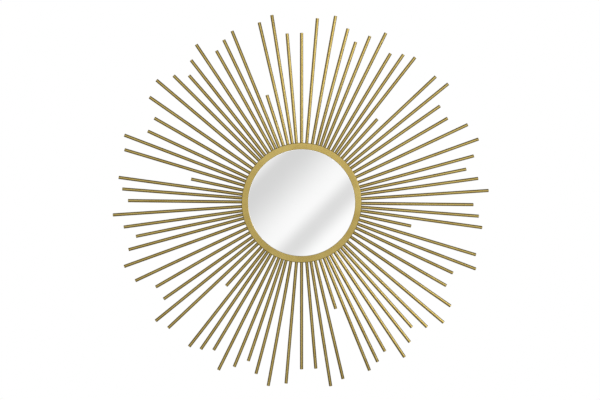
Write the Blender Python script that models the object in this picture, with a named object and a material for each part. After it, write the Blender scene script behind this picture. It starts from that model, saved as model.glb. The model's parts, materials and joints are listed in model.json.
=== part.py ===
"""Sunburst wall mirror: a round mirror in a spun steel bezel, ringed by tube rays.

Metres, +Z up. The mirror faces -Y and the wall is the plane y = 0 behind it.
The origin is the mirror's centre, on the wall.
Angles run clockwise from twelve o'clock, as seen from the front.
"""

import math

import bmesh
import bpy
from mathutils import Matrix, Vector

MM = 0.001

# Fits
FIT_GAP = 0.3 * MM  # between pieces that touch
EDGE_PLAY = 0.3 * MM  # round the glass and the panel, inside the bezel
DRILL_OVERRUN = 1 * MM  # a hole's cutter past both faces

# Bezel, spun from sheet steel
OPENING_D = 227 * MM
RIM_WIDTH = 14 * MM
BEZEL_SHEET = 1.2 * MM
BEND_INSIDE = 0.3 * MM  # radius inside a bend
LEDGE_WIDTH = 11 * MM  # rear ledge that the panel drops onto

# Mirror stack, front to back
GLASS_RECESS = 1 * MM  # glass behind the face of the rim
GLASS_T = 3 * MM
GLASS_ARRIS = 0.4 * MM  # polished edge round the face
PAD_T = 1 * MM
PAD_INSET = 5 * MM
PANEL_T = 5 * MM
WALL_GAP = 9 * MM  # panel to wall, which is the height of a bumper

# Ray panels: tubes welded to an arc rail, the same pattern in each panel
PANEL_COUNT = 6
TUBE_D = 7 * MM
TUBE_WALL = 0.8 * MM
TUBE_INNER_GAP = 5.8 * MM  # inner end of a tube to the bezel
WELD_DEPTH = 0.4 * MM  # a tube beds this far into its rail
CUT_LENGTH = {"A": 280 * MM, "B": 270 * MM, "C": 260 * MM, "D": 247 * MM, "E": 238 * MM, "F": 119 * MM}
RAY_CUTS = "EBACECADCBFBAE"
RAY_DEGREES = (0, 4.9, 10.3, 14.9, 18.6, 22.3, 26.4, 30.8, 34.5, 38, 42.2, 46.8, 51, 55.1)
RAIL_T = 2 * MM
RAIL_SETBACK = 1.5 * MM  # rail's outer edge behind the edge of the rim
RAIL_JOINT = 3 * MM  # between neighbouring rails
RAIL_CORNER = 2.5 * MM
RAIL_SCREW_DEGREES = 40  # between the two screws of a rail

# Screws
SCREW_D = 2.9 * MM
SCREW_HEAD_D = 5.6 * MM
SCREW_HEAD_H = 1.9 * MM
SCREW_SIDE_H = 0.8 * MM  # upright side of the head
SCREW_CROWN_D = 3.9 * MM
SCREW_CROWN_H = 0.3 * MM
SCREW_POINT = 2 * MM
SCREW_COVER = 1 * MM  # panel left in front of a screw's point

# Strap hangers and their D-rings
STRIP_T = 0.8 * MM  # the strap is this strip, folded double round the ring
STRAP_WIDTH = 11 * MM
STRAP_LENGTH = 33 * MM  # ring axis to the foot of the strap
STRAP_UPPER_HOLE = 8 * MM  # below the ring axis
STRAP_LOWER_HOLE = 8 * MM  # above the foot of the strap
STRAP_FOOT_ROUND = 4.5 * MM
RING_WIRE_D = 2.6 * MM
RING_CORNER = 3 * MM  # on the centre line of the wire, as are the next two
RING_SIDE = 3 * MM  # straight stretch between a corner and the crown
RING_SIDE_PLAY = 1.5 * MM  # strap to the corner of the ring
RING_PLAY = 0.3 * MM  # round the wire in the strap's fold
HANGER_DEGREES = 42
HANGER_INSET = 15 * MM  # top of a ring to the ledge

# Bumpers
BUMPER_D = 14 * MM
BUMPER_TIP_D = 11 * MM
BUMPER_ROUND = 1 * MM
BUMPER_DEGREES = 145
BUMPER_INSET = 16 * MM  # centre of a bumper to the ledge

# Facets
SMOOTH_DEGREES = 46
MERGE_DISTANCE = 0.001 * MM
TURN_STEPS = 72
OUTER_BEND_STEPS = 2
INNER_BEND_STEPS = 1
RAIL_CORNER_STEPS = 2
TUBE_SIDES = 8
SCREW_SIDES = 8
HOLE_SIDES = 8
BORE_SIDES = 12
STRAP_FOOT_STEPS = 3
STRAP_FOLD_STEPS = 8
RING_CORNER_STEPS = 3
RING_CROWN_STEPS = 10
WIRE_ROUNDNESS = 2
BUMPER_STEPS = 16

# Radii that follow
BEND_RADIUS = BEZEL_SHEET + BEND_INSIDE  # outside of a bend
SKIRT_INNER = OPENING_D / 2
SKIRT_OUTER = SKIRT_INNER + BEZEL_SHEET
RIM_OUTER = SKIRT_INNER + RIM_WIDTH
LEDGE_INNER = SKIRT_INNER - LEDGE_WIDTH
STACK_RADIUS = SKIRT_INNER - EDGE_PLAY
SCREW_CIRCLE = (LEDGE_INNER + SKIRT_INNER) / 2
TUBE_START = SKIRT_OUTER + TUBE_INNER_GAP
RAIL_OUTER = RIM_OUTER - RAIL_SETBACK

# Depths that follow, towards the wall from the rim
PANEL_BACK = -WALL_GAP
PANEL_FRONT = PANEL_BACK - PANEL_T
PAD_FRONT = PANEL_FRONT - FIT_GAP - PAD_T
GLASS_BACK = PAD_FRONT - FIT_GAP
GLASS_FRONT = GLASS_BACK - GLASS_T
RIM_FRONT = GLASS_FRONT - GLASS_RECESS
LEDGE_FRONT = PANEL_BACK + FIT_GAP
LEDGE_BACK = LEDGE_FRONT + BEZEL_SHEET
RAIL_FRONT = LEDGE_BACK + FIT_GAP
RAIL_BACK = RAIL_FRONT + RAIL_T
TUBE_AXIS = RAIL_FRONT + WELD_DEPTH - TUBE_D / 2
RETURN_END = TUBE_AXIS - TUBE_D / 2 - FIT_GAP
SCREW_TIP = PANEL_FRONT + SCREW_COVER

# Hanger sizes that follow
STRAP_T = 2 * STRIP_T
STRAP_HOLES = (STRAP_UPPER_HOLE, STRAP_LENGTH - STRAP_LOWER_HOLE)
RING_WIRE_R = RING_WIRE_D / 2
RING_HALF_WIDTH = STRAP_WIDTH / 2 + RING_SIDE_PLAY + RING_CORNER
RING_HEIGHT = RING_CORNER + RING_SIDE + RING_HALF_WIDTH
FOLD_BORE_R = (RING_WIRE_R + RING_PLAY) / math.cos(math.pi / BORE_SIDES)
FOLD_R = FOLD_BORE_R + STRIP_T
STRAP_FRONT = PANEL_BACK + FIT_GAP
RING_AXIS = STRAP_FRONT + FOLD_R
RING_LEAN = math.asin((RING_AXIS - PANEL_BACK - RING_WIRE_R - FIT_GAP) / RING_HEIGHT)


def clear_scene():
    for old in list(bpy.data.objects):
        bpy.data.objects.remove(old, do_unlink=True)


def finish(name, colour, roughness, metallic):
    """A plain Principled material."""
    material = bpy.data.materials.new(name)
    material.use_nodes = True
    shader = material.node_tree.nodes["Principled BSDF"]
    shader.inputs["Base Color"].default_value = (*colour, 1)
    shader.inputs["Roughness"].default_value = roughness
    shader.inputs["Metallic"].default_value = metallic
    return material


def smoothed(mesh):
    mesh.shade_smooth()
    mesh.set_sharp_from_angle(angle=math.radians(SMOOTH_DEGREES))
    return mesh


def mesh_from(bm, name):
    """Closes off a bmesh: faces outwards, smooth between shallow facets."""
    bmesh.ops.remove_doubles(bm, verts=bm.verts, dist=MERGE_DISTANCE)
    bmesh.ops.recalc_face_normals(bm, faces=bm.faces)
    mesh = bpy.data.meshes.new(name)
    bm.to_mesh(mesh)
    bm.free()
    return smoothed(mesh)


def place(name, mesh, material, location=(0, 0, 0), rotation=(0, 0, 0)):
    """Puts a mesh in the scene under the sub-part's name."""
    mesh.materials.clear()
    mesh.materials.append(material)
    part = bpy.data.objects.new(name, mesh)
    part.location = location
    part.rotation_euler = rotation
    bpy.context.scene.collection.objects.link(part)


def combine(mesh, tool_mesh, operation):
    """The Boolean of two meshes, as a new mesh."""
    base = bpy.data.objects.new("base", mesh)
    tool = bpy.data.objects.new("tool", tool_mesh)
    for shape in (base, tool):
        bpy.context.scene.collection.objects.link(shape)
    boolean = base.modifiers.new("combine", "BOOLEAN")
    boolean.operation = operation
    boolean.solver = "EXACT"
    boolean.use_self = True
    boolean.object = tool
    view = bpy.context.evaluated_depsgraph_get()
    result = bpy.data.meshes.new_from_object(base.evaluated_get(view))
    for shape in (base, tool):
        bpy.data.objects.remove(shape, do_unlink=True)
    return smoothed(result)


def arc(centre, radius, start, end, steps):
    """Points on a plane arc, from one angle in degrees to another."""
    points = []
    for step in range(steps + 1):
        angle = math.radians(start + (end - start) * step / steps)
        points.append((centre[0] + radius * math.cos(angle), centre[1] + radius * math.sin(angle)))
    return points


def polar(radius, degrees, depth):
    """A point by its clock angle, at a depth from the wall."""
    angle = math.radians(degrees)
    return (radius * math.sin(angle), depth, radius * math.cos(angle))


def turned(name, profile, steps, closed=False):
    """Spins a profile of (radius, depth) points round the Y axis."""
    bm = bmesh.new()
    verts = [bm.verts.new((radius, depth, 0)) for radius, depth in profile]
    edges = [bm.edges.new(pair) for pair in zip(verts, verts[1:])]
    if closed:
        edges.append(bm.edges.new((verts[-1], verts[0])))
    bmesh.ops.spin(
        bm, geom=verts + edges, cent=(0, 0, 0), axis=(0, 1, 0), angle=2 * math.pi, steps=steps, use_merge=True
    )
    return mesh_from(bm, name)


def extruded(bm, outline, reach):
    """A flat outline of points, drawn out along a vector into a prism."""
    face = bm.faces.new([bm.verts.new(point) for point in outline])
    raised = bmesh.ops.extrude_face_region(bm, geom=[face])
    lifted = [item for item in raised["geom"] if isinstance(item, bmesh.types.BMVert)]
    bmesh.ops.translate(bm, verts=lifted, vec=reach)


def round_corners(bm, corners, radius, segments):
    """Rounds the edges along Y that stand at each (x, z) corner of a plate."""
    upright = []
    for edge in bm.edges:
        middle = (edge.verts[0].co + edge.verts[1].co) / 2
        half = (edge.verts[0].co - edge.verts[1].co) / 2
        stands = Vector((half.x, half.z)).length < MERGE_DISTANCE
        for x, z in corners:
            if stands and Vector((middle.x - x, middle.z - z)).length < MERGE_DISTANCE:
                upright.append(edge)
    bmesh.ops.bevel(bm, geom=upright, offset=radius, segments=segments, profile=0.5, affect="EDGES")


def drills(spots, front, back, radius, sides):
    """Cutters along Y for holes right through a wall, at each (x, z) spot."""
    bm = bmesh.new()
    depth = back - front + 2 * DRILL_OVERRUN
    for x, z in spots:
        stand = Matrix.Translation((x, (front + back) / 2, z)) @ Matrix.Rotation(math.pi / 2, 4, "X")
        bmesh.ops.create_cone(
            bm, cap_ends=True, segments=sides, radius1=radius, radius2=radius, depth=depth, matrix=stand
        )
    return mesh_from(bm, "drills")


def with_screw_holes(mesh, spots, front, back):
    """The mesh with a clearance hole for a screw at each spot."""
    radius = (SCREW_D / 2 + FIT_GAP) / math.cos(math.pi / HOLE_SIDES)
    return combine(mesh, drills(spots, front, back, radius, HOLE_SIDES), "DIFFERENCE")


def rail_middle_degrees():
    """Middle of the first rail, whose ends lie halfway between two panels' rays."""
    return (RAY_DEGREES[0] + RAY_DEGREES[-1]) / 2


def rail_screw_spots():
    """Where the rail screws go, as (x, z), two for each rail in turn."""
    spots = []
    for panel in range(PANEL_COUNT):
        middle = rail_middle_degrees() + panel * 360 / PANEL_COUNT
        for side in (-1, 1):
            x, _, z = polar(SCREW_CIRCLE, middle + side * RAIL_SCREW_DEGREES / 2, 0)
            spots.append((x, z))
    return spots


def hanger_axes():
    """Middle of each D-ring's hinge bar, as (x, z), left then right as seen from the front."""
    top = LEDGE_INNER - HANGER_INSET
    lift = RING_HEIGHT * math.cos(RING_LEAN)
    spots = []
    for side in (-1, 1):
        x, _, z = polar(top, side * HANGER_DEGREES, 0)
        spots.append((x, z - lift))
    return spots


def hanger_screw_spots():
    """Where the hanger screws go, as (x, z), upper then lower on each strap."""
    return [(x, z - below) for x, z in hanger_axes() for below in STRAP_HOLES]


def outer_bend(centre, start, end):
    return arc(centre, BEND_RADIUS, start, end, OUTER_BEND_STEPS)


def inner_bend(centre, start, end):
    return arc(centre, BEND_INSIDE, start, end, INNER_BEND_STEPS)


def bezel_mesh():
    """Rim with its rolled return, skirt round the glass, and rear ledge, in one sheet section."""
    rim_back = RIM_FRONT + BEZEL_SHEET
    return_inner = RIM_OUTER - BEZEL_SHEET
    profile = [(RIM_OUTER, RETURN_END)]
    profile += outer_bend((RIM_OUTER - BEND_RADIUS, RIM_FRONT + BEND_RADIUS), 0, -90)
    profile += outer_bend((SKIRT_INNER + BEND_RADIUS, RIM_FRONT + BEND_RADIUS), -90, -180)
    profile += inner_bend((SKIRT_INNER - BEND_INSIDE, LEDGE_FRONT - BEND_INSIDE), 0, 90)
    profile += [(LEDGE_INNER, LEDGE_FRONT), (LEDGE_INNER, LEDGE_BACK)]
    profile += outer_bend((SKIRT_OUTER - BEND_RADIUS, LEDGE_BACK - BEND_RADIUS), 90, 0)
    profile += inner_bend((SKIRT_OUTER + BEND_INSIDE, rim_back + BEND_INSIDE), 180, 270)
    profile += inner_bend((return_inner - BEND_INSIDE, rim_back + BEND_INSIDE), -90, 0)
    profile += [(return_inner, RETURN_END)]
    sheet = turned("bezel", profile, TURN_STEPS, closed=True)
    return with_screw_holes(sheet, rail_screw_spots(), LEDGE_FRONT, LEDGE_BACK)


def glass_mesh():
    """Flat disc with a polished arris round its face."""
    profile = [
        (0, GLASS_FRONT),
        (STACK_RADIUS - GLASS_ARRIS, GLASS_FRONT),
        (STACK_RADIUS, GLASS_FRONT + GLASS_ARRIS),
        (STACK_RADIUS, GLASS_BACK),
        (0, GLASS_BACK),
    ]
    return turned("glass", profile, TURN_STEPS)


def disc_mesh(name, radius, front, back):
    return turned(name, [(0, front), (radius, front), (radius, back), (0, back)], TURN_STEPS)


def panel_mesh():
    """Back panel with a pilot hole for each screw, drilled right through."""
    board = disc_mesh("panel", STACK_RADIUS, PANEL_FRONT, PANEL_BACK)
    return with_screw_holes(board, rail_screw_spots() + hanger_screw_spots(), PANEL_FRONT, PANEL_BACK)


def rail_mesh():
    """Arc of flat bar with rounded corners, for the first ray panel."""
    half_joint = math.degrees(RAIL_JOINT / 2 / LEDGE_INNER)
    reach = 180 / PANEL_COUNT - half_joint
    middle = rail_middle_degrees()
    steps = TURN_STEPS // PANEL_COUNT
    turns = [middle - reach + 2 * reach * step / steps for step in range(steps + 1)]
    bm = bmesh.new()
    outline = [polar(RAIL_OUTER, turn, RAIL_FRONT) for turn in turns]
    outline += [polar(LEDGE_INNER, turn, RAIL_FRONT) for turn in reversed(turns)]
    extruded(bm, outline, (0, RAIL_T, 0))
    ends = [outline[index] for index in (0, steps, steps + 1, -1)]
    round_corners(bm, [(x, z) for x, _, z in ends], RAIL_CORNER, RAIL_CORNER_STEPS)
    return mesh_from(bm, "rail")


def tube_ring(bm, radius, height, turn):
    """One ring of a tube's wall, at a height along the ray."""
    ring = []
    for side in range(TUBE_SIDES):
        angle = 2 * math.pi * side / TUBE_SIDES
        spot = Vector((radius * math.cos(angle), TUBE_AXIS + radius * math.sin(angle), height))
        ring.append(bm.verts.new(turn @ spot))
    return ring


def tubes_mesh():
    """The open tubes of the first ray panel, fanned out at their angles."""
    bm = bmesh.new()
    outer = TUBE_D / 2
    bore = outer - TUBE_WALL
    for degrees, cut in zip(RAY_DEGREES, RAY_CUTS):
        turn = Matrix.Rotation(math.radians(degrees), 3, "Y")
        tip = TUBE_START + CUT_LENGTH[cut]
        rings = [
            tube_ring(bm, outer, TUBE_START, turn),
            tube_ring(bm, outer, tip, turn),
            tube_ring(bm, bore, tip, turn),
            tube_ring(bm, bore, TUBE_START, turn),
        ]
        for ring, following in zip(rings, rings[1:] + rings[:1]):
            for side in range(TUBE_SIDES):
                beside = (side + 1) % TUBE_SIDES
                bm.faces.new((ring[side], ring[beside], following[beside], following[side]))
    return mesh_from(bm, "tubes")


def ray_panel_mesh():
    """Rail and tubes as one weldment, with the rail's two screw holes."""
    welded = combine(rail_mesh(), tubes_mesh(), "UNION")
    return with_screw_holes(welded, rail_screw_spots()[:2], RAIL_FRONT, RAIL_BACK)


def screw_mesh(name, seat):
    """Pan-head screw along Y, whose head bears on a seat at this depth."""
    shank = SCREW_D / 2
    head = SCREW_HEAD_D / 2
    under = seat + FIT_GAP
    profile = [
        (0, SCREW_TIP),
        (shank, SCREW_TIP + SCREW_POINT),
        (shank, under),
        (head, under),
        (head, under + SCREW_SIDE_H),
        (SCREW_CROWN_D / 2, under + SCREW_HEAD_H - SCREW_CROWN_H),
        (0, under + SCREW_HEAD_H),
    ]
    return turned(name, profile, SCREW_SIDES)


def strap_mesh():
    """Folded strap: a flat tail and the fold that wraps the ring's bar. Its origin is the bar's middle."""
    front = -FOLD_R
    back = front + STRAP_T
    meet = math.degrees(math.acos(back / FOLD_R))
    outline = [(front, -STRAP_LENGTH)]
    outline += arc((0, 0), FOLD_R, 180, -meet, STRAP_FOLD_STEPS)
    outline += [(back, -STRAP_LENGTH)]
    bm = bmesh.new()
    half = STRAP_WIDTH / 2
    extruded(bm, [(-half, depth, height) for depth, height in outline], (STRAP_WIDTH, 0, 0))
    feet = [(side, -STRAP_LENGTH) for side in (-half, half)]
    round_corners(bm, feet, STRAP_FOOT_ROUND, STRAP_FOOT_STEPS)
    strap = with_screw_holes(mesh_from(bm, "strap"), [(0, -below) for below in STRAP_HOLES], front, back)
    bore = drills([(0, 0)], -STRAP_WIDTH / 2, STRAP_WIDTH / 2, FOLD_BORE_R, BORE_SIDES)
    bore.transform(Matrix.Rotation(math.pi / 2, 4, "Z"))
    return combine(strap, bore, "DIFFERENCE")


def ring_mesh():
    """D-ring of round wire, standing up from its bar. Its origin is the bar's middle."""
    corner = RING_HALF_WIDTH - RING_CORNER
    crown = RING_HEIGHT - RING_HALF_WIDTH
    path = arc((corner, RING_CORNER), RING_CORNER, -90, 0, RING_CORNER_STEPS)
    path += arc((0, crown), RING_HALF_WIDTH, 0, 180, RING_CROWN_STEPS)
    path += arc((-corner, RING_CORNER), RING_CORNER, 180, 270, RING_CORNER_STEPS)
    curve = bpy.data.curves.new("ring_wire", "CURVE")
    curve.dimensions = "3D"
    curve.bevel_depth = RING_WIRE_R
    curve.bevel_resolution = WIRE_ROUNDNESS
    spline = curve.splines.new("POLY")
    spline.points.add(len(path) - 1)
    for point, (across, up) in zip(spline.points, path):
        point.co = (across, 0, up, 1)
    spline.use_cyclic_u = True
    wire = bpy.data.objects.new("ring_wire", curve)
    bpy.context.scene.collection.objects.link(wire)
    view = bpy.context.evaluated_depsgraph_get()
    mesh = bpy.data.meshes.new_from_object(wire.evaluated_get(view))
    bpy.data.objects.remove(wire, do_unlink=True)
    mesh.shade_smooth()
    return mesh


def bumper_mesh():
    """Rubber stud, tapering to the flat that meets the wall. Its origin is the middle of that flat."""
    foot = BUMPER_D / 2
    tip = BUMPER_TIP_D / 2
    profile = [
        (0, PANEL_BACK + FIT_GAP),
        (foot, PANEL_BACK + FIT_GAP),
        (tip, -BUMPER_ROUND),
        (tip - BUMPER_ROUND, 0),
        (0, 0),
    ]
    return turned("bumper", profile, BUMPER_STEPS)


def build():
    clear_scene()
    gold = finish("gold_satin", (0.47, 0.34, 0.11), 0.38, 0.9)
    silver = finish("mirror_silver", (0.86, 0.87, 0.87), 0.03, 1)
    foam = finish("foam_white", (0.78, 0.78, 0.76), 0.9, 0)
    board = finish("board_black", (0.025, 0.024, 0.023), 0.75, 0)
    zinc = finish("zinc_bright", (0.62, 0.63, 0.64), 0.32, 1)
    rubber = finish("rubber_clear", (0.5, 0.5, 0.48), 0.5, 0)

    place("bezel", bezel_mesh(), gold)
    place("mirror_glass", glass_mesh(), silver)
    place("foam_pad", disc_mesh("pad", STACK_RADIUS - PAD_INSET, PAD_FRONT, PANEL_FRONT - FIT_GAP), foam)
    place("back_panel", panel_mesh(), board)

    rays = ray_panel_mesh()
    for panel in range(PANEL_COUNT):
        turn = math.radians(panel * 360 / PANEL_COUNT)
        place(f"ray_panel_{panel + 1}", rays, gold, rotation=(0, turn, 0))

    rail_screw = screw_mesh("rail_screw", RAIL_BACK)
    for number, (x, z) in enumerate(rail_screw_spots(), start=1):
        place(f"rail_screw_{number}", rail_screw, zinc, location=(x, 0, z))

    strap = strap_mesh()
    ring = ring_mesh()
    for side, (x, z) in zip(("left", "right"), hanger_axes()):
        place(f"hanger_strap_{side}", strap, zinc, location=(x, RING_AXIS, z))
        place(f"hanger_ring_{side}", ring, zinc, location=(x, RING_AXIS, z), rotation=(RING_LEAN, 0, 0))

    hanger_screw = screw_mesh("hanger_screw", STRAP_FRONT + STRAP_T)
    names = [f"hanger_screw_{side}_{level}" for side in ("left", "right") for level in ("upper", "lower")]
    for name, (x, z) in zip(names, hanger_screw_spots()):
        place(name, hanger_screw, zinc, location=(x, 0, z))

    bumper = bumper_mesh()
    for side, degrees in (("left", -BUMPER_DEGREES), ("right", BUMPER_DEGREES)):
        place(f"bumper_{side}", bumper, rubber, location=polar(LEDGE_INNER - BUMPER_INSET, degrees, 0))


build()
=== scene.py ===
import json
import math

import bmesh
import bpy
from mathutils import Matrix, Vector


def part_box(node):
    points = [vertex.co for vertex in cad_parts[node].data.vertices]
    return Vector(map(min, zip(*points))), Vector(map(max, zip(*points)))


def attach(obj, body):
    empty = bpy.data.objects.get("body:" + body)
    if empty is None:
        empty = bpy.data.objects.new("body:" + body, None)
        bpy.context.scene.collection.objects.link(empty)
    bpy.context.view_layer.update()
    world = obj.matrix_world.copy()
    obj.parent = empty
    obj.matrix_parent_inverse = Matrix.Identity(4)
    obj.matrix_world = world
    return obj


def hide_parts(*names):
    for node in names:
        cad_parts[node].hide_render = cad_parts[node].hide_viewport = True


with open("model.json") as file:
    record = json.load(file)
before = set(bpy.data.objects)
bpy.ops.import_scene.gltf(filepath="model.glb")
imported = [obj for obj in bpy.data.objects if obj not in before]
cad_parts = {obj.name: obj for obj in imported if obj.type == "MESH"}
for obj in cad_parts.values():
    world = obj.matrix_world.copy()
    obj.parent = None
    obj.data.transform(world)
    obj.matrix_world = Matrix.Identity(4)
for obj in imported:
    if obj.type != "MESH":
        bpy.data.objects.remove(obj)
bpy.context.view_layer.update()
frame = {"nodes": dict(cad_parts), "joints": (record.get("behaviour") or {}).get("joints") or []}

MM = 0.001

# Camera, as the photograph was taken
PHOTO_WIDTH = 600
CAMERA_DISTANCE = 2.5
CAMERA_AZIMUTH = -1.9  # degrees: a little to the left of straight ahead,
CAMERA_ELEVATION = 3.86  # and a little above
METRES_PER_PIXEL = 2.128 * MM  # at the middle of the rays
CENTRE_RIGHT_PIXELS = 1.57  # middle of the rays, right of the picture's middle
CENTRE_BELOW_PIXELS = 2.64
SENSOR_WIDTH = 36  # millimetres, as a camera's data has it

# Bezel sheet and mirror glass
BEZEL_SHEET = 1.2 * MM
BEND_INSIDE = 0.3 * MM  # radius inside a bend
BEND_RADIUS = BEZEL_SHEET + BEND_INSIDE
RIM_WIDTH = 14 * MM
LEDGE_WIDTH = 11 * MM
RETURN_GAP = 0.3 * MM  # bezel's rolled edge to the tubes behind it
RIM_LIP_ROUND = 0.8 * MM  # crisp edge of the rim round the glass
GLASS_PLAY = 0.1 * MM
GLASS_EDGE_WIDTH = 0.4 * MM  # polished edge round the face
GLASS_EDGE_DROP = 0.065 * MM

# Ray panels
PANEL_COUNT = 6
RAY_REACH = {  # outer end of a ray, by its cut
    "A": 400.5 * MM, "B": 390.5 * MM, "C": 380.5 * MM, "D": 367.5 * MM, "E": 358.5 * MM, "F": 239.5 * MM,
}
RAY_CUTS = "EBACECADCBFBAE"  # cut of each ray of a panel, clockwise
RAY_DEGREES = (0, 4.9, 10.3, 14.9, 18.6, 22.3, 26.4, 30.8, 34.5, 38, 42.2, 46.8, 51, 55.1)
TUBE_INNER_GAP = 5.8 * MM  # inner end of a tube to the bezel's skirt
TUBE_WALL = 0.8 * MM
TUBE_CHAMFER = 0.25 * MM
WELD_DEPTH = 0.4 * MM  # a tube beds this far into its rail
RAIL_T = 2 * MM
RAIL_SETBACK = 1.5 * MM
RAIL_JOINT = 3 * MM
RAIL_CORNER = 2.5 * MM
RAIL_EDGE_ROUND = 0.3 * MM
BEAD_RADIUS = 0.85 * MM
BEAD_SIZES = (0.85, 1.1)  # smallest and largest weld drop, of that radius
BEAD_COUNT = 6  # weld drops across the back of each tube
BEAD_SPREAD = 0.75  # outermost weld drop, of the tube's radius

# Screws, straps, rings and bumpers
SCREW_HEAD_D = 5.6 * MM
SCREW_HEAD_H = 1.9 * MM
HEAD_SEAT = 0.97  # width of a screw head where it sits, of its widest
HEAD_DOME = 0.62  # domed part of a screw head, of its height
HEAD_FULLNESS = 0.55  # below 1, so that the dome has full shoulders
SCREW_D = 2.9 * MM
SHANK_RADII = 2  # shank under the head, in its own radii, before its point
RECESS_LENGTH = 3.1 * MM
RECESS_WIDTH = 0.75 * MM
RECESS_DEPTH = 1.1 * MM
RECESS_TAPER = 0.5  # width at the bottom of the cross recess, of that at its mouth
STRIP_T = 0.8 * MM
STRIP_FILL = 0.98  # leaves a hair between the folded layers
STRIP_EDGE_ROUND = 0.12 * MM
STRAP_FOOT_ROUND = 4.5 * MM
STRAP_LEAVE_DEGREES = -60  # where the strip leaves the bar of the ring
STRAP_BEND = 1.2 * MM  # reach of the bend from there to the rear layer
STRAP_BEND_MIDDLE = (0.22, 0.3)  # middle of that bend, out and down, of its reach
RING_WIRE_D = 2.6 * MM
RING_CORNER = 3 * MM
BUMPER_TIP_D = 11 * MM
BUMPER_ROUND = 1.2 * MM
BUMPER_FOOT_ROUND = 0.4 * MM
BUMPER_FOOT_DEGREES = -60  # where the round of its foot starts
BUMPER_TAPER_DEGREES = 10

# Facets
TURN_STEPS = 256
BEND_STEPS = 8
TUBE_SIDES = 24
BEAD_SEGMENTS = 8
BEAD_RINGS = 6
RAIL_STEPS = 48
RAIL_CORNER_STEPS = 6
RAIL_CREASE_DEGREES = 60  # sharper edges are rounded
SCREW_STEPS = 32
STRAP_FOOT_STEP = 10  # degrees
STRAP_WRAP_STEPS = 40
STRAP_CREASE_DEGREES = 50
EDGE_SEGMENTS = 2
RING_CORNER_STEPS = 8
RING_BOW_STEPS = 48
RING_WIRE_RESOLUTION = 6
BUMPER_FOOT_STEPS = 3
SMOOTH_DEGREES = 35
FLAT_SMOOTH_DEGREES = 5  # keeps a flat face flat right up to its softened edge
FLAT_MARGIN = 0.15 * MM  # from the end of a straight to where it shades flat
MERGE_DISTANCE = 0.001 * MM
SEED = 7

# Tones of the finishes, as (share of their pattern, colour) stops
GOLD_TONES = ((0.34, (0.36, 0.261, 0.073)), (0.66, (0.43, 0.332, 0.106)))
GLASS_TONES = ((0.35, (0.928, 0.931, 0.93)), (0.65, (0.942, 0.942, 0.942)))
FOAM_TONES = ((0, (0.6, 0.6, 0.58)), (0.6, (0.8, 0.8, 0.78)))
BOARD_TONES = ((0.35, (0.014, 0.013, 0.012)), (0.62, (0.036, 0.034, 0.031)))
ZINC_TONES = ((0.25, (0.55, 0.56, 0.57)), (0.75, (0.74, 0.75, 0.755)))
RUBBER_TONES = ((0.3, (0.42, 0.42, 0.4)), (0.7, (0.55, 0.55, 0.53)))
RAY_PAINTED_SHADE = ((0.13, 0.86), (0.17, 0.89), (0.26, 0.96), (0.36, 1.0))  # (radius, share of the tone): painted shade, darker towards the ring where the rays crowd

# Floor, card behind the camera, room and lamps
FLOOR_Z = -1.0
FLOOR_HALF = 2.0
FLOOR_MIDDLE_Y = -0.6
CARD_Y = -2.7
CARD_HALF_WIDTH = 3.0
CARD_TOP = 3.0
CARD_MIDDLE = (0.09, CARD_Y, -0.24)  # about where the middle of the mirror looks
PLAIN_R = 0.3  # the card has its plain tones within this of its middle,
LIT_START_R = 0.42  # then a ring of brighter light,
LIT_END_R = 1.2
DIM_R = 1.7  # and is dimmer outside it
LIT_TONE = 1.6
DIM_TONE = 0.5
BAND_PITCH = 0.62  # from one soft band of the card to the next
BAND_START = -0.09
BAND_SLANT = (math.sqrt(0.5), 0, -math.sqrt(0.5))  # across the bands
BAND_TONES = (  # by share of a pitch
    (0.015, 1.04), (0.15, 0.715), (0.175, 0.715), (0.51, 1.01), (0.63, 0.77), (0.645, 0.77),
    (0.785, 1.045),
)
ROOM_TONES = (  # studio in reflections, by the y of where they look:
    (-0.42, 0.5),  # front
    (-0.25, 0.06), (0.4, 0.06),  # dark flags at the sides
    (0.6, 0.4), (0.85, 0.4),  # rear
    (0.99, 1.0),  # white straight behind
)
FLOOR_PAINTED_LIGHT_X = ((-0.4, 0.1), (0.3, 0.45))  # floor in reflections, by x: painted light, lighter to the right
FLOOR_PAINTED_LIGHT_Y = ((-2.3, 3.0), (-1.7, 1.0), (-0.5, 1.0), (-0.25, 0.3))  # of that tone, by y: painted light towards the front, painted shadow under and behind the mirror
FLOOR_GREY = 0.35
FLOOR_WHITE_SHARE = 0.75  # of plain white in what the camera sees of the floor's middle,
FLOOR_SHADOW_R = 0.3  # out to here, and then more,
FLOOR_WHITE_R = FLOOR_HALF * 0.95  # until all is white
FILL_TONE = 0.5  # plain light from all round
WHITE = (1, 1, 1, 1)
LAMPS = (  # name, place, size and watts
    ("key", (1.3, -1.0, 0.3), 0.7, 6.5),
    ("fill", (0.45, -2.4, 0.4), 0.5, 1.4),
    ("rear", (-1.2, 2.0, 1.4), 1.4, 3),
)


# Shapes

def arc(centre, radius, start, end, steps):
    """Points on a plane arc, from one angle in degrees to another."""
    points = []
    for step in range(steps + 1):
        angle = math.radians(start + (end - start) * step / steps)
        points.append((centre[0] + radius * math.cos(angle), centre[1] + radius * math.sin(angle)))
    return points


def held_flat(profile):
    """A closed profile with a point near each end of its straights, which then shade flat."""
    held = []
    for here, after in zip(profile, profile[1:] + profile[:1]):
        held.append(here)
        way = Vector(after) - Vector(here)
        if way.length > 3 * FLAT_MARGIN:
            margin = way.normalized() * FLAT_MARGIN
            held.append(Vector(here) + margin)
            held.append(Vector(after) - margin)
    return held


def polar(radius, degrees, depth):
    """A point by its clock angle, at a depth from the wall."""
    angle = math.radians(degrees)
    return Vector((radius * math.sin(angle), depth, radius * math.cos(angle)))


def smoothed(mesh, degrees=SMOOTH_DEGREES):
    """Smooth shading, with edges sharper than this angle left crisp."""
    mesh.shade_smooth()
    mesh.set_sharp_from_angle(angle=math.radians(degrees))
    return mesh


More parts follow.
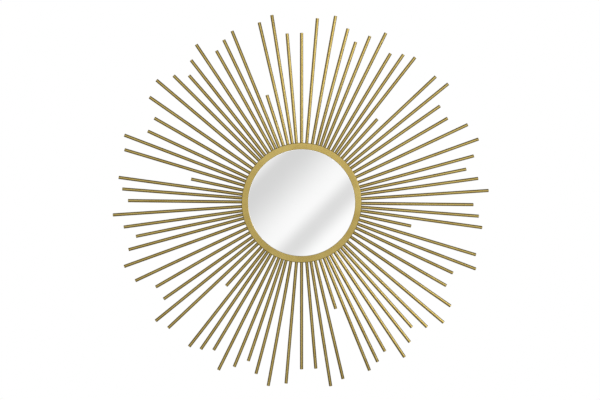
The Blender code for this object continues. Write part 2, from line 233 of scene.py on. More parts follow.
def closed_off(bm, name):
    """A bmesh as a mesh: doubles merged, faces outwards, smooth between shallow facets."""
    bmesh.ops.remove_doubles(bm, verts=bm.verts, dist=MERGE_DISTANCE)
    bmesh.ops.recalc_face_normals(bm, faces=bm.faces)
    mesh = bpy.data.meshes.new(name)
    bm.to_mesh(mesh)
    bm.free()
    return smoothed(mesh)


def tidied(mesh):
    """The mesh with its doubles merged and its faces outwards."""
    bm = bmesh.new()
    bm.from_mesh(mesh)
    return closed_off(bm, mesh.name)


def turned(name, profile, steps, closed=False):
    """Turns a profile of (radius, depth) points round the Y axis."""
    bm = bmesh.new()
    rings = []
    for step in range(steps):
        turn = Matrix.Rotation(2 * math.pi * step / steps, 3, "Y")
        rings.append([bm.verts.new(turn @ Vector((radius, depth, 0))) for radius, depth in profile])
    for ring, after in zip(rings, rings[1:] + rings[:1]):
        rungs = list(zip(ring, after))
        if closed:
            rungs.append(rungs[0])
        for (here, here_after), (there, there_after) in zip(rungs, rungs[1:]):
            bm.faces.new((here, there, there_after, here_after))
    return closed_off(bm, name)


def in_scene(name, mesh):
    """An object in the scene, at the origin."""
    piece = bpy.data.objects.new(name, mesh)
    bpy.context.scene.collection.objects.link(piece)
    return piece


def taken_off(holder):
    """What an object looks like with its modifiers, as a plain mesh. The object goes."""
    view = bpy.context.evaluated_depsgraph_get()
    mesh = bpy.data.meshes.new_from_object(holder.evaluated_get(view))
    bpy.data.objects.remove(holder, do_unlink=True)
    return mesh


def bevelled(mesh, width, degrees):
    """The mesh with its edges rounded where they are sharper than this angle."""
    holder = in_scene("bevelled", mesh)
    bevel = holder.modifiers.new("edges", "BEVEL")
    bevel.width = width
    bevel.segments = EDGE_SEGMENTS
    bevel.angle_limit = math.radians(degrees)
    return tidied(taken_off(holder))


def joined(name, meshes):
    """Several meshes as one."""
    bm = bmesh.new()
    for mesh in meshes:
        bm.from_mesh(mesh)
    mesh = bpy.data.meshes.new(name)
    bm.to_mesh(mesh)
    bm.free()
    return mesh


def dressed(name, mesh, material, body, nodes):
    """A finished piece: in the scene, on its body, standing for its CAD nodes."""
    mesh.materials.clear()
    mesh.materials.append(material)
    piece = in_scene(name, mesh)
    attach(piece, body)
    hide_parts(*nodes)
    return piece


# Node trees

def add_node(tree, kind, inputs=None, **settings):
    """A node with its settings, whose inputs are joined to sockets or set to values."""
    node = tree.nodes.new(kind)
    for name, value in settings.items():
        setattr(node, name, value)
    for name, value in (inputs or {}).items():
        if isinstance(value, bpy.types.NodeSocket):
            tree.links.new(value, node.inputs[name])
        else:
            node.inputs[name].default_value = value
    return node


def sums(tree, operation, first, second):
    """A Math node's result."""
    return add_node(tree, "ShaderNodeMath", {0: first, 1: second}, operation=operation).outputs[0]


def blended(tree, first, second, share):
    """A share of one pattern, and of another the rest."""
    main = sums(tree, "MULTIPLY", first, share)
    rest = sums(tree, "MULTIPLY", second, 1 - share)
    return sums(tree, "ADD", main, rest)


def vectors(tree, operation, *given):
    """A Vector Math node's result: a number where the operation measures, and otherwise a vector."""
    node = add_node(tree, "ShaderNodeVectorMath", dict(enumerate(given)), operation=operation)
    measures = operation in ("DISTANCE", "DOT_PRODUCT", "LENGTH")
    return node.outputs["Value" if measures else "Vector"]


def scaled(tree, vector, factor):
    """A vector times a number, in a tree."""
    node = add_node(tree, "ShaderNodeVectorMath", {0: vector, "Scale": factor}, operation="SCALE")
    return node.outputs["Vector"]


def ramp(tree, factor, stops, interpolation="LINEAR"):
    """A colour ramp with a stop at each (position, colour)."""
    node = add_node(tree, "ShaderNodeValToRGB", {"Fac": factor})
    node.color_ramp.interpolation = interpolation
    elements = node.color_ramp.elements
    while len(elements) < len(stops):
        elements.new(1)
    for element, (position, colour) in zip(elements, stops):
        element.position = position
        element.color = (*colour, 1)
    return node.outputs["Color"]


def spread(tree, value, low, high, start=0.3, end=0.7):
    """A value mapped from the run start to end, where a pattern mostly lies, to the run low to high."""
    span = {"Value": value, "From Min": start, "From Max": end, "To Min": low, "To Max": high}
    return add_node(tree, "ShaderNodeMapRange", span).outputs["Result"]


def greys(stops):
    """Stops of a colour ramp, from (position, tone)."""
    return [(position, (tone, tone, tone)) for position, tone in stops]


def graded(tree, value, stops):
    """A tone that follows a value, given as (value, tone) stops."""
    first = stops[0][0]
    last = stops[-1][0]
    share = spread(tree, value, 0.0, 1.0, first, last)
    return ramp(tree, share, greys([((stop - first) / (last - first), tone) for stop, tone in stops]))


# Geometry Nodes

def geometry_tree(name, sizes):
    """A tree with these named inputs. Gives the tree, its inputs and its end."""
    tree = bpy.data.node_groups.new(name, "GeometryNodeTree")
    tree.interface.new_socket("Geometry", in_out="INPUT", socket_type="NodeSocketGeometry")
    for label, kind in sizes.items():
        tree.interface.new_socket(label, in_out="INPUT", socket_type=f"NodeSocket{kind}")
    tree.interface.new_socket("Geometry", in_out="OUTPUT", socket_type="NodeSocketGeometry")
    given = tree.nodes.new("NodeGroupInput").outputs
    end = tree.nodes.new("NodeGroupOutput").inputs["Geometry"]
    return tree, given, end


def close_tree(tree, geometry, finish, end):
    """Ends a tree with real geometry in its finish."""
    real = add_node(tree, "GeometryNodeRealizeInstances", {"Geometry": geometry}).outputs[0]
    painted = add_node(tree, "GeometryNodeSetMaterial", {"Geometry": real, "Material": finish})
    tree.links.new(painted.outputs[0], end)


def grown(mesh, tree, sizes):
    """What a tree makes of a mesh, as a plain mesh."""
    holder = in_scene("grown", mesh)
    modifier = holder.modifiers.new("grow", "NODES")
    modifier.node_group = tree
    for item in tree.interface.items_tree:
        if item.in_out == "INPUT" and item.name in sizes:
            modifier[item.identifier] = sizes[item.name]
    return tidied(taken_off(holder))


def kept_on_points(tree, geometry, name, value, kind):
    """Stores a named attribute on the points of a geometry."""
    node = add_node(
        tree, "GeometryNodeStoreNamedAttribute", {"Geometry": geometry, "Name": name, "Value": value},
        data_type=kind, domain="POINT"
    )
    return node.outputs["Geometry"]


def named(tree, name, kind):
    """Reads a named attribute."""
    node = add_node(tree, "GeometryNodeInputNamedAttribute", {"Name": name}, data_type=kind)
    return node.outputs["Attribute"]


def tube_tree():
    """Open tubes along the edges that come in: outer wall, chamfered rims and a bore right through."""
    tree, given, end = geometry_tree("tubes", {
        "Radius": "Float", "Wall": "Float", "Chamfer": "Float", "Sides": "Int", "Finish": "Material",
    })
    paths = add_node(tree, "GeometryNodeMeshToCurve", {"Mesh": given["Geometry"]}).outputs["Curve"]
    along = tree.nodes.new("GeometryNodeInputTangent").outputs["Tangent"]
    share = tree.nodes.new("GeometryNodeSplineParameter").outputs["Factor"]
    side = sums(tree, "SUBTRACT", sums(tree, "MULTIPLY", share, 2.0), 1.0)
    length = tree.nodes.new("GeometryNodeSplineLength").outputs["Length"]
    here = tree.nodes.new("GeometryNodeInputPosition").outputs["Position"]
    paths = kept_on_points(tree, paths, "outward", scaled(tree, along, side), "FLOAT_VECTOR")
    paths = kept_on_points(tree, paths, "half_length", sums(tree, "MULTIPLY", length, 0.5), "FLOAT")
    paths = kept_on_points(tree, paths, "axis_spot", here, "FLOAT_VECTOR")
    circle = add_node(
        tree, "GeometryNodeCurvePrimitiveCircle",
        {"Resolution": given["Sides"], "Radius": given["Radius"]}
    ).outputs["Curve"]
    skin = add_node(
        tree, "GeometryNodeCurveToMesh", {"Curve": paths, "Profile Curve": circle}
    ).outputs["Mesh"]

    outward = named(tree, "outward", "FLOAT_VECTOR")
    to_axis = vectors(tree, "SUBTRACT", named(tree, "axis_spot", "FLOAT_VECTOR"), here)
    inward = vectors(tree, "NORMALIZE", to_axis)
    skin = kept_on_points(tree, skin, "inward", inward, "FLOAT_VECTOR")
    inward = named(tree, "inward", "FLOAT_VECTOR")
    faces = tree.nodes.new("GeometryNodeInputMeshEdgeNeighbors").outputs["Face Count"]
    open_edges = add_node(
        tree, "FunctionNodeCompare", {2: faces, 3: 1}, data_type="INT", operation="EQUAL"
    ).outputs["Result"]

    chamfer = given["Chamfer"]
    back = sums(tree, "MULTIPLY", chamfer, -1.0)
    flat = sums(tree, "SUBTRACT", given["Wall"], sums(tree, "MULTIPLY", chamfer, 2.0))
    to_middle = sums(tree, "MULTIPLY", named(tree, "half_length", "FLOAT"), -1.0)
    edges = open_edges
    for step_in, step_out in ((chamfer, chamfer), (flat, 0.0), (chamfer, back), (0.0, to_middle)):
        step = vectors(tree, "ADD", scaled(tree, inward, step_in), scaled(tree, outward, step_out))
        drawn = add_node(
            tree, "GeometryNodeExtrudeMesh", {"Mesh": skin, "Selection": edges, "Offset": step},
            mode="EDGES"
        )
        skin = drawn.outputs["Mesh"]
        edges = drawn.outputs["Top"]
    close_tree(tree, skin, given["Finish"], end)
    return tree


def random_number(tree, low, high, seed):
    """A random number for each point."""
    node = add_node(tree, "FunctionNodeRandomValue", {2: low, 3: high, "Seed": seed}, data_type="FLOAT")
    return node.outputs[1]


def bead_tree():
    """Weld drops of slightly unlike size, one on each point."""
    tree, given, end = geometry_tree("weld_beads", {
        "Radius": "Float", "Seed": "Int", "Finish": "Material",
    })
    drop = add_node(
        tree, "GeometryNodeMeshUVSphere",
        {"Segments": BEAD_SEGMENTS, "Rings": BEAD_RINGS, "Radius": given["Radius"]}
    ).outputs["Mesh"]
    size = random_number(tree, *BEAD_SIZES, given["Seed"])
    beads = add_node(
        tree, "GeometryNodeInstanceOnPoints",
        {"Points": given["Geometry"], "Instance": drop, "Scale": size}
    ).outputs["Instances"]
    close_tree(tree, beads, given["Finish"], end)
    return tree


def screw_tree():
    """A screw on each point, each driven to a turn of its own."""
    tree, given, end = geometry_tree("screws", {
        "Screw": "Object", "Seed": "Int", "Finish": "Material",
    })
    screw = add_node(tree, "GeometryNodeObjectInfo", {"Object": given["Screw"]}).outputs["Geometry"]
    turn = random_number(tree, 0.0, math.pi, given["Seed"])
    turns = add_node(tree, "ShaderNodeCombineXYZ", {"Y": turn}).outputs["Vector"]
    placed = add_node(
        tree, "GeometryNodeInstanceOnPoints",
        {"Points": given["Geometry"], "Instance": screw, "Rotation": turns}
    ).outputs["Instances"]
    close_tree(tree, placed, given["Finish"], end)
    return tree


def points_mesh(name, points):
    """Loose points."""
    mesh = bpy.data.meshes.new(name)
    mesh.from_pydata(points, [], [])
    return mesh


# Finishes

def new_finish(name):
    """A material, its tree, its Principled shader and its Object coordinates."""
    material = bpy.data.materials.new(name)
    material.use_nodes = True
    tree = material.node_tree
    place = tree.nodes.new("ShaderNodeTexCoord").outputs["Object"]
    return material, tree, tree.nodes["Principled BSDF"].inputs, place


def noise(tree, place, scale, detail=2.0):
    """Cloudy pattern, with this many clouds to the metre."""
    node = add_node(tree, "ShaderNodeTexNoise", {"Vector": place, "Scale": scale, "Detail": detail})
    return node.outputs["Fac"]


def cell_pattern(tree, place, scale):
    """Cells, this many to the metre. Gives the outputs."""
    return add_node(tree, "ShaderNodeTexVoronoi", {"Vector": place, "Scale": scale}).outputs


def bump(tree, shader, height, strength, distance):
    """Relief from a pattern."""
    relief = {"Height": height, "Strength": strength, "Distance": distance}
    node = add_node(tree, "ShaderNodeBump", relief)
    tree.links.new(node.outputs["Normal"], shader["Normal"])


def gold_satin(name, painted_shade=None):
    """Satin gold lacquer: a slow drift of tone, a fine grain and an uneven sheen.

    Painted shade, if given, is (radius, share of its tone) stops, out from the middle of the mirror: the
    tone darkens towards the ring.
    """
    material, tree, shader, place = new_finish(name)
    drift = noise(tree, place, scale=26, detail=3)
    grain = noise(tree, place, scale=1500)
    mixed = blended(tree, drift, grain, share=0.7)
    colour = ramp(tree, mixed, GOLD_TONES)
    # painted shade: the tone darkens towards the middle, where the rays crowd
    if painted_shade:
        across = vectors(tree, "MULTIPLY", place, (1, 0, 1))
        radius = vectors(tree, "LENGTH", across)
        colour = scaled(tree, colour, graded(tree, radius, painted_shade))
    tree.links.new(colour, shader["Base Color"])
    tree.links.new(spread(tree, mixed, low=0.18, high=0.28), shader["Roughness"])
    shader["Metallic"].default_value = 0.95
    bump(tree, shader, grain, strength=0.07, distance=0.05 * MM)
    return material


def mirror_silver():
    """Silvered glass with a faint breath of haze."""
    material, tree, shader, place = new_finish("mirror_silver")
    haze = noise(tree, place, scale=14, detail=4)
    tree.links.new(ramp(tree, haze, GLASS_TONES), shader["Base Color"])
    tree.links.new(spread(tree, haze, low=0.004, high=0.018), shader["Roughness"])
    shader["Metallic"].default_value = 1
    return material


def foam_white():
    """Open-cell foam sheet."""
    material, tree, shader, place = new_finish("foam_white")
    cells = cell_pattern(tree, place, scale=900.0)["Distance"]
    tree.links.new(ramp(tree, cells, FOAM_TONES), shader["Base Color"])
    shader["Roughness"].default_value = 0.9
    bump(tree, shader, cells, strength=0.3, distance=0.3 * MM)
    return material


def board_black():
    """Black-faced fibreboard: pressed fibres and a slightly mottled matte face."""
    material, tree, shader, place = new_finish("board_black")
    fibre_lie = add_node(tree, "ShaderNodeMapping", {"Vector": place, "Scale": (220, 220, 90)})
    fibres = noise(tree, fibre_lie.outputs["Vector"], scale=4, detail=4)
    mottle = noise(tree, place, scale=40, detail=3)
    mixed = blended(tree, fibres, mottle, share=0.6)
    tree.links.new(ramp(tree, mixed, BOARD_TONES), shader["Base Color"])
    tree.links.new(spread(tree, mixed, low=0.85, high=0.62), shader["Roughness"])
    bump(tree, shader, fibres, strength=0.35, distance=0.12 * MM)
    return material


def zinc_bright():
    """Bright zinc plating with a faint spangle and dull clouds."""
    material, tree, shader, place = new_finish("zinc_bright")
    spangle = cell_pattern(tree, place, scale=700.0)["Color"]
    tone = add_node(tree, "ShaderNodeSeparateXYZ", {"Vector": spangle}).outputs["X"]
    dull = noise(tree, place, scale=320, detail=3)
    mixed = blended(tree, tone, dull, share=0.35)
    tree.links.new(ramp(tree, mixed, ZINC_TONES), shader["Base Color"])
    sheen = spread(tree, mixed, low=0.4, high=0.24, start=0.2, end=0.8)
    tree.links.new(sheen, shader["Roughness"])
    shader["Metallic"].default_value = 1
    bump(tree, shader, dull, strength=0.1, distance=0.04 * MM)
    return material


def rubber_clear():
    """Grey translucent rubber with a moulded skin."""
    material, tree, shader, place = new_finish("rubber_clear")
    cloud = noise(tree, place, scale=180, detail=3)
    skin = noise(tree, place, scale=1800)
    tree.links.new(ramp(tree, cloud, RUBBER_TONES), shader["Base Color"])
    tree.links.new(spread(tree, skin, low=0.35, high=0.55), shader["Roughness"])
    shader["Subsurface Weight"].default_value = 0.25
    shader["Subsurface Radius"].default_value = (2 * MM, 2 * MM, 2 * MM)
    bump(tree, shader, skin, strength=0.15, distance=0.05 * MM)
    return material


# Pieces

rim_low, rim_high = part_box("bezel")
glass_low, glass_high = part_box("mirror_glass")
ray_low, ray_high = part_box("ray_panel_1")
rim_outer = rim_high.x
rim_front = rim_low.y
ledge_back = rim_high.y
skirt_inner = rim_outer - RIM_WIDTH
ledge_inner = skirt_inner - LEDGE_WIDTH
rail_back = ray_high.y
rail_front = rail_back - RAIL_T
rail_outer = rim_outer - RAIL_SETBACK
tube_front = ray_low.y
tube_back = rail_front + WELD_DEPTH
tube_radius = (tube_back - tube_front) / 2
tube_axis = (tube_back + tube_front) / 2
tube_start = skirt_inner + BEZEL_SHEET + TUBE_INNER_GAP


def spun_bezel():
    """Rim with its rolled return, skirt and rear ledge, one sheet section."""
    rim_back = rim_front + BEZEL_SHEET
    ledge_front = ledge_back - BEZEL_SHEET
    skirt_outer = skirt_inner + BEZEL_SHEET
    return_inner = rim_outer - BEZEL_SHEET
    return_end = tube_front - RETURN_GAP
    edge = BEZEL_SHEET / 2
    bends = (  # radius and depth of the middle, radius of the bend, and from which angle to which
        (rim_outer - BEND_RADIUS, rim_front + BEND_RADIUS, BEND_RADIUS, 0, -90),
        (skirt_inner + RIM_LIP_ROUND, rim_front + RIM_LIP_ROUND, RIM_LIP_ROUND, -90, -180),
        (skirt_inner - BEND_INSIDE, ledge_front - BEND_INSIDE, BEND_INSIDE, 0, 90),
        (ledge_inner + edge, ledge_front + edge, edge, 270, 90),
        (skirt_outer - BEND_RADIUS, ledge_back - BEND_RADIUS, BEND_RADIUS, 90, 0),
        (skirt_outer + BEND_INSIDE, rim_back + BEND_INSIDE, BEND_INSIDE, 180, 270),
        (return_inner - BEND_INSIDE, rim_back + BEND_INSIDE, BEND_INSIDE, -90, 0),
        (return_inner + edge, return_end - edge, edge, 180, 0),
    )
    profile = []
    for radius, depth, bend, start, end in bends:
        profile += arc((radius, depth), bend, start, end, BEND_STEPS)
    return turned("spun_bezel", held_flat(profile), TURN_STEPS, closed=True)


def silvered_glass():
    """Flat disc with a polished edge round its face."""
    radius = skirt_inner - GLASS_PLAY
    front = glass_low.y
    back = glass_high.y
    profile = [
        (0, front),
        (radius - GLASS_EDGE_WIDTH, front),
        (radius, front + GLASS_EDGE_DROP),
        (radius, back),
        (0, back),
    ]
    return smoothed(turned("silvered_glass", profile, TURN_STEPS), FLAT_SMOOTH_DEGREES)


def ray_paths():
    """An edge along the axis of each tube of the first panel, short of its chamfers."""
    points = []
    edges = []
    for degrees, cut in zip(RAY_DEGREES, RAY_CUTS):
        edges.append((len(points), len(points) + 1))
        points.append(polar(tube_start + TUBE_CHAMFER, degrees, tube_axis))
        points.append(polar(RAY_REACH[cut] - TUBE_CHAMFER, degrees, tube_axis))
    mesh = bpy.data.meshes.new("ray_paths")
    mesh.from_pydata(points, edges, [])
    return mesh


def weld_spots():
    """Weld drops across the back of each tube, along the outer edge of the rail."""
    spots = []
    half = tube_radius * BEAD_SPREAD
    for degrees in RAY_DEGREES:
        turn = Matrix.Rotation(math.radians(degrees), 3, "Y")
        for drop in range(BEAD_COUNT):
            across = half * (2 * drop / (BEAD_COUNT - 1) - 1)
            depth = tube_axis + math.sqrt(tube_radius ** 2 - across ** 2)
            spots.append(turn @ Vector((across, depth, rail_outer)))
    return points_mesh("weld_spots", spots)


def arc_rail():
    """Arc of flat bar with rounded corners and softened edges, for the first panel."""
    pitch = 360 / PANEL_COUNT
    middle = (RAY_DEGREES[0] + RAY_DEGREES[-1]) / 2
    reach = pitch / 2 - math.degrees(RAIL_JOINT / 2 / ledge_inner)
    turns = [middle - reach + 2 * reach * step / RAIL_STEPS for step in range(RAIL_STEPS + 1)]
    bm = bmesh.new()
    outline = [bm.verts.new(polar(rail_outer, turn, rail_front)) for turn in turns]
    outline += [bm.verts.new(polar(ledge_inner, turn, rail_front)) for turn in reversed(turns)]
    bm.faces.new(outline)
    corners = [outline[index] for index in (0, RAIL_STEPS, RAIL_STEPS + 1, -1)]
    bmesh.ops.bevel(
        bm, geom=corners, offset=RAIL_CORNER, segments=RAIL_CORNER_STEPS, profile=0.5, affect="VERTICES"
    )
    drawn = bmesh.ops.extrude_face_region(bm, geom=list(bm.faces))
    lifted = [item for item in drawn["geom"] if isinstance(item, bmesh.types.BMVert)]
    bmesh.ops.translate(bm, verts=lifted, vec=(0, RAIL_T, 0))
    softened = bevelled(closed_off(bm, "arc_rail"), RAIL_EDGE_ROUND, RAIL_CREASE_DEGREES)
    return smoothed(softened, FLAT_SMOOTH_DEGREES)


def ray_panel(gold):
    """Tubes, rail and welds of the first panel."""
    tubes = grown(ray_paths(), tube_tree(), {
        "Radius": tube_radius, "Wall": TUBE_WALL, "Chamfer": TUBE_CHAMFER,
        "Sides": TUBE_SIDES, "Finish": gold,
    })
    welds = grown(weld_spots(), bead_tree(), {"Radius": BEAD_RADIUS, "Seed": SEED, "Finish": gold})
    return joined("ray_panel", [tubes, arc_rail(), welds])


def pan_head_screw():
    """Pan-head screw with a cross recess. Its head sits on y = 0 and stands out towards +Y."""
    head = SCREW_HEAD_D / 2
    shank = SCREW_D / 2
    dome = SCREW_HEAD_H * HEAD_DOME
    profile = [
        (0, -(SHANK_RADII + 1) * shank),
        (shank, -SHANK_RADII * shank),
        (shank, 0),
        (head * HEAD_SEAT, 0),
    ]
    for step in range(BEND_STEPS + 1):
        angle = math.radians(90 * step / BEND_STEPS)
        radius = head * math.cos(angle) ** HEAD_FULLNESS
        profile.append((radius, SCREW_HEAD_H - dome + dome * math.sin(angle)))
    screw = in_scene("screw", turned("screw", profile, SCREW_STEPS))
    bm = bmesh.new()
    slot = Matrix.Diagonal((RECESS_LENGTH, 2 * RECESS_DEPTH, RECESS_WIDTH, 1))
    for turn in (0, math.pi / 2):
        made = bmesh.ops.create_cube(bm, size=1, matrix=Matrix.Rotation(turn, 4, "Y") @ slot)
        for vert in made["verts"]:
            if vert.co.y < 0:
                vert.co.x *= RECESS_TAPER
                vert.co.z *= RECESS_TAPER
    bmesh.ops.translate(bm, verts=bm.verts, vec=(0, SCREW_HEAD_H, 0))
    cross = in_scene("cross", closed_off(bm, "cross"))
    boolean = screw.modifiers.new("recess", "BOOLEAN")
    boolean.solver = "EXACT"
    boolean.use_self = True
    boolean.object = cross
    mesh = tidied(taken_off(screw))
    bpy.data.objects.remove(cross, do_unlink=True)
    return mesh


def screws_at(nodes, zinc, seed):
    """A screw where each of these CAD nodes has one."""
    seats = []
    for node in nodes:
        low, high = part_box(node)
        seats.append(((low.x + high.x) / 2, high.y - SCREW_HEAD_H, (low.z + high.z) / 2))
    screw = in_scene("screw", pan_head_screw())
    sizes = {"Screw": screw, "Seed": seed, "Finish": zinc}
    mesh = grown(points_mesh("seats", seats), screw_tree(), sizes)
    bpy.data.objects.remove(screw, do_unlink=True)
    return mesh


def folded_strap(axis, low):
    """A strip folded double round the ring's bar, with rounded feet."""
    half = axis.x - low.x
    wrap = axis.y - low.y - STRIP_T / 2  # centre line of the strip round the bar
    foot = low.z - axis.z
    rear = STRIP_T - wrap  # centre line of the rear layer
    rises = []  # heights along the round of the foot
    for angle in range(0, 91, STRAP_FOOT_STEP):
        rises.append(foot + STRAP_FOOT_ROUND * (1 - math.cos(math.radians(angle))))
    line = [(-wrap, rise) for rise in rises]
    line += arc((0, 0), wrap, 180, STRAP_LEAVE_DEGREES, STRAP_WRAP_STEPS)
    start_y, start_z = line[-1]
    tilt = math.radians(STRAP_LEAVE_DEGREES + 90)
    meet_z = start_z - (start_y - rear) * math.tan(tilt)
    out, down = STRAP_BEND_MIDDLE
    line += [
        (rear + STRAP_BEND * math.cos(tilt), meet_z + STRAP_BEND * math.sin(tilt)),
        (rear + STRAP_BEND * out, meet_z - STRAP_BEND * down),
        (rear, meet_z - STRAP_BEND),
    ]
    line += [(rear, rise) for rise in reversed(rises)]
    bm = bmesh.new()
    rows = []
    for depth, height in line:
        into = max(0, foot + STRAP_FOOT_ROUND - height)
        width = half - STRAP_FOOT_ROUND + math.sqrt(max(0, STRAP_FOOT_ROUND ** 2 - into ** 2))
        ends = [axis + Vector((side * width, depth, height)) for side in (-1, 1)]
        rows.append([bm.verts.new(end) for end in ends])
    for (left, right), (next_left, next_right) in zip(rows, rows[1:]):
        bm.faces.new((left, right, next_right, next_left))
    mesh = bpy.data.meshes.new("folded_strap")
    bm.to_mesh(mesh)
    bm.free()
    holder = in_scene("strip", mesh)
    wall = holder.modifiers.new("wall", "SOLIDIFY")
    wall.thickness = STRIP_T * STRIP_FILL
    wall.offset = 0
    wall.use_even_offset = True
    return bevelled(taken_off(holder), STRIP_EDGE_ROUND, STRAP_CREASE_DEGREES)


def d_ring(axis, low, high):
    """D-ring of round wire, leaning on the panel as it does at rest."""
    wire = RING_WIRE_D / 2
    half = axis.x - low.x - wire
    lean_depth = axis.y - low.y - wire
    height = math.hypot(high.z - wire - axis.z, lean_depth)
    corner = half - RING_CORNER
    path = arc((corner, RING_CORNER), RING_CORNER, -90, 0, RING_CORNER_STEPS)
    path += arc((0, height - half), half, 0, 180, RING_BOW_STEPS)
    path += arc((-corner, RING_CORNER), RING_CORNER, 180, 270, RING_CORNER_STEPS)
    curve = bpy.data.curves.new("d_ring", "CURVE")
    curve.dimensions = "3D"
    curve.bevel_depth = wire
    curve.bevel_resolution = RING_WIRE_RESOLUTION
    spline = curve.splines.new("POLY")
    spline.points.add(len(path) - 1)
    for point, (across, up) in zip(spline.points, path):
        point.co = (across, 0, up, 1)
    spline.use_cyclic_u = True
    mesh = taken_off(in_scene("d_ring", curve))
    lean = Matrix.Rotation(math.asin(lean_depth / height), 4, "X")
    mesh.transform(Matrix.Translation(axis) @ lean)
    return tidied(mesh)


def rubber_bumper(low, high):
    """Moulded stud, tapering to the flat that meets the wall."""
    foot = (high.x - low.x) / 2
    tip = BUMPER_TIP_D / 2
    foot_middle = (foot - BUMPER_FOOT_ROUND, low.y + BUMPER_FOOT_ROUND)
    tip_middle = (tip - BUMPER_ROUND, high.y - BUMPER_ROUND)
    profile = [(0, low.y), (foot - BUMPER_FOOT_ROUND, low.y)]
    profile += arc(foot_middle, BUMPER_FOOT_ROUND, BUMPER_FOOT_DEGREES, 0, BUMPER_FOOT_STEPS)
    profile += arc(tip_middle, BUMPER_ROUND, BUMPER_TAPER_DEGREES, 90, BEND_STEPS)
    profile.append((0, high.y))
    mesh = turned("rubber_bumper", profile, SCREW_STEPS)
    mesh.transform(Matrix.Translation(((low.x + high.x) / 2, 0, (low.z + high.z) / 2)))
    return mesh


def build_mirror():
    """Every piece, in its finish and on its body."""
    ring_gold = gold_satin("gold_ring")
    # the rays, rails and welds carry painted shade, darker near the ring
    ray_gold = gold_satin("gold_rays", RAY_PAINTED_SHADE)
    zinc = zinc_bright()
    rubber = rubber_clear()
    dressed("spun_bezel", spun_bezel(), ring_gold, "mirror", ["bezel"])
    glass = silvered_glass()
    dressed("silvered_glass", glass, mirror_silver(), "mirror", ["mirror_glass"])
    for node, material in (("foam_pad", foam_white()), ("back_panel", board_black())):
        frame["nodes"][node].data.materials.clear()
        frame["nodes"][node].data.materials.append(material)

    first_panel = ray_panel(ray_gold)
    for panel in range(PANEL_COUNT):
        mesh = first_panel.copy()
        mesh.transform(Matrix.Rotation(2 * math.pi * panel / PANEL_COUNT, 4, "Y"))
        nodes = [f"ray_panel_{panel + 1}"]
        dressed(f"ray_fan_{panel + 1}", mesh, ray_gold, "mirror", nodes)

    rail_nodes = [f"rail_screw_{number + 1}" for number in range(2 * PANEL_COUNT)]
    dressed("rail_screws", screws_at(rail_nodes, zinc, SEED), zinc, "mirror", rail_nodes)
    for joint in frame["joints"]:
        side = joint["name"].split("_")[0]
        axis = Vector(joint["pos_m"])
        strap = folded_strap(axis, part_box(f"hanger_strap_{side}")[0])
        dressed(f"folded_strap_{side}", strap, zinc, "mirror", [f"hanger_strap_{side}"])
        ring = d_ring(axis, *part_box(f"hanger_ring_{side}"))
        dressed(f"d_ring_{side}", ring, zinc, joint["child"], [f"hanger_ring_{side}"])
        nodes = [f"hanger_screw_{side}_{level}" for level in ("upper", "lower")]
        seed = SEED + len(side)  # so that the two sides differ
        screws = screws_at(nodes, zinc, seed)
        dressed(f"hanger_screws_{side}", screws, zinc, "mirror", nodes)
        stud = rubber_bumper(*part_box(f"bumper_{side}"))
        dressed(f"rubber_bumper_{side}", stud, rubber, "mirror", [f"bumper_{side}"])


# Studio

def quad(name, corners):
    """A flat sheet."""
    mesh = bpy.data.meshes.new(name)
    mesh.from_pydata(corners, [], [(0, 1, 2, 3)])
    return in_scene(name, mesh)


def pale_floor():
    """Pale floor, white to the camera towards its edges, so that only a soft shadow shows."""
    low_y = FLOOR_MIDDLE_Y - FLOOR_HALF
    high_y = FLOOR_MIDDLE_Y + FLOOR_HALF
    floor = quad("floor", [
        (-FLOOR_HALF, low_y, FLOOR_Z), (FLOOR_HALF, low_y, FLOOR_Z),
        (FLOOR_HALF, high_y, FLOOR_Z), (-FLOOR_HALF, high_y, FLOOR_Z),
    ])
    material = bpy.data.materials.new("floor")
    material.use_nodes = True
    tree = material.node_tree
    tree.nodes.clear()
    grey = (FLOOR_GREY, FLOOR_GREY, FLOOR_GREY, 1)
    matte = add_node(tree, "ShaderNodeBsdfDiffuse", {"Color": grey}).outputs[0]
    white = add_node(tree, "ShaderNodeEmission", {"Color": WHITE, "Strength": 1.0}).outputs[0]
    place = tree.nodes.new("ShaderNodeTexCoord").outputs["Object"]
    away = vectors(tree, "DISTANCE", place, (0, FLOOR_MIDDLE_Y, FLOOR_Z))
    share = spread(tree, away, FLOOR_WHITE_SHARE, 1.0, FLOOR_SHADOW_R, FLOOR_WHITE_R)
    ray = tree.nodes.new("ShaderNodeLightPath").outputs
    direct = sums(tree, "MAXIMUM", ray["Is Camera Ray"], ray["Is Transmission Ray"])
    parts = add_node(tree, "ShaderNodeSeparateXYZ", {"Vector": place}).outputs
    # painted light and shadow on the floor, seen only in reflections: lighter to the right and the
    # front, darker under and behind the mirror
    painted_side_light = graded(tree, parts["X"], FLOOR_PAINTED_LIGHT_X)
    painted_depth_light = graded(tree, parts["Y"], FLOOR_PAINTED_LIGHT_Y)
    tone = sums(tree, "MULTIPLY", painted_side_light, painted_depth_light)
    mirrored = sums(tree, "MULTIPLY", ray["Is Glossy Ray"], tone)
    seen = sums(tree, "MULTIPLY", share, sums(tree, "MAXIMUM", direct, mirrored))
    mixed = add_node(tree, "ShaderNodeMixShader", {0: seen, 1: matte, 2: white})
    add_node(tree, "ShaderNodeOutputMaterial", {"Surface": mixed.outputs[0]})
    floor.data.materials.append(material)


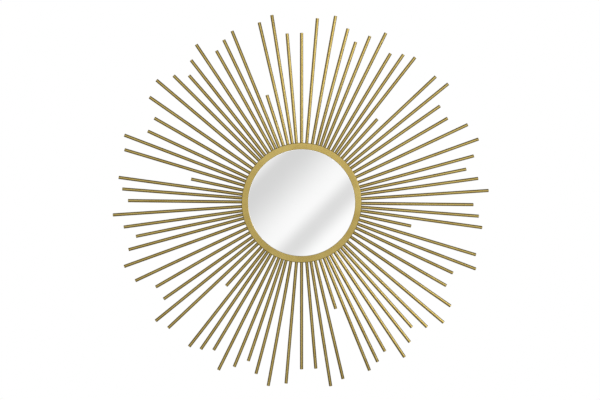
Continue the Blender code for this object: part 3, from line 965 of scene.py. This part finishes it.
def banded_card():
    """Large card behind the camera, seen only in reflections: soft slanting bands, grey to white."""
    card = quad("card", [
        (-CARD_HALF_WIDTH, CARD_Y, FLOOR_Z), (-CARD_HALF_WIDTH, CARD_Y, CARD_TOP),
        (CARD_HALF_WIDTH, CARD_Y, CARD_TOP), (CARD_HALF_WIDTH, CARD_Y, FLOOR_Z),
    ])
    material = bpy.data.materials.new("card")
    material.use_nodes = True
    tree = material.node_tree
    tree.nodes.clear()
    place = tree.nodes.new("ShaderNodeTexCoord").outputs["Object"]
    across = vectors(tree, "DOT_PRODUCT", place, BAND_SLANT)
    from_start = sums(tree, "DIVIDE", sums(tree, "SUBTRACT", across, BAND_START), BAND_PITCH)
    share = sums(tree, "FRACT", from_start, 0.0)
    away = vectors(tree, "DISTANCE", place, CARD_MIDDLE)
    rise = spread(tree, away, 1.0, LIT_TONE, PLAIN_R, LIT_START_R)
    fall = spread(tree, away, 1.0, DIM_TONE, LIT_END_R, DIM_R)
    level = sums(tree, "MULTIPLY", rise, fall)
    bands = ramp(tree, share, greys(BAND_TONES), "EASE")
    light = add_node(tree, "ShaderNodeEmission", {"Color": bands, "Strength": level})
    add_node(tree, "ShaderNodeOutputMaterial", {"Surface": light.outputs[0]})
    card.data.materials.append(material)
    card.visible_camera = False
    card.visible_diffuse = False
    card.visible_shadow = False
    card.visible_transmission = False


def studio_world():
    """White to the camera. Reflections show dark flags at the sides and a dimmer front and rear."""
    world = bpy.data.worlds.new("studio")
    bpy.context.scene.world = world
    world.use_nodes = True
    tree = world.node_tree
    tree.nodes.clear()
    ray = tree.nodes.new("ShaderNodeLightPath").outputs
    way = tree.nodes.new("ShaderNodeTexCoord").outputs["Generated"]
    parts = add_node(tree, "ShaderNodeSeparateXYZ", {"Vector": way}).outputs
    room = graded(tree, parts["Y"], ROOM_TONES)
    fill = add_node(tree, "ShaderNodeBackground", {"Color": WHITE, "Strength": FILL_TONE}).outputs[0]
    seen = add_node(tree, "ShaderNodeBackground", {"Color": WHITE, "Strength": room}).outputs[0]
    white = add_node(tree, "ShaderNodeBackground", {"Color": WHITE, "Strength": 1.0}).outputs[0]
    lit = add_node(tree, "ShaderNodeMixShader", {0: ray["Is Glossy Ray"], 1: fill, 2: seen}).outputs[0]
    direct = sums(tree, "MAXIMUM", ray["Is Camera Ray"], ray["Is Transmission Ray"])
    shown = add_node(tree, "ShaderNodeMixShader", {0: direct, 1: lit, 2: white}).outputs[0]
    add_node(tree, "ShaderNodeOutputWorld", {"Surface": shown})


def soft_lamp(name, place, size, power):
    """Square soft lamp that faces the mirror."""
    light = bpy.data.lights.new(name, "AREA")
    light.size = size
    light.energy = power
    lamp = in_scene(name, light)
    lamp.location = place
    lamp.rotation_euler = (-Vector(place)).to_track_quat("-Z", "Y").to_euler()


def photo_camera():
    """Camera where the photograph was taken from."""
    lens = bpy.data.cameras.new("camera")
    lens.sensor_width = SENSOR_WIDTH
    lens.lens = SENSOR_WIDTH * CAMERA_DISTANCE / (PHOTO_WIDTH * METRES_PER_PIXEL)
    lens.shift_x = -CENTRE_RIGHT_PIXELS / PHOTO_WIDTH
    lens.shift_y = CENTRE_BELOW_PIXELS / PHOTO_WIDTH
    turn = math.radians(CAMERA_AZIMUTH)
    rise = math.radians(CAMERA_ELEVATION)
    level = math.cos(rise)
    back = Vector((math.sin(turn) * level, -math.cos(turn) * level, math.sin(rise)))
    camera = in_scene("camera", lens)
    camera.location = Vector((0, tube_axis, 0)) + CAMERA_DISTANCE * back
    camera.rotation_euler = (-back).to_track_quat("-Z", "Y").to_euler()
    bpy.context.scene.camera = camera


build_mirror()
pale_floor()
banded_card()
studio_world()
for lamp in LAMPS:
    soft_lamp(*lamp)
photo_camera()
bpy.context.scene.view_settings.view_transform = "Standard"
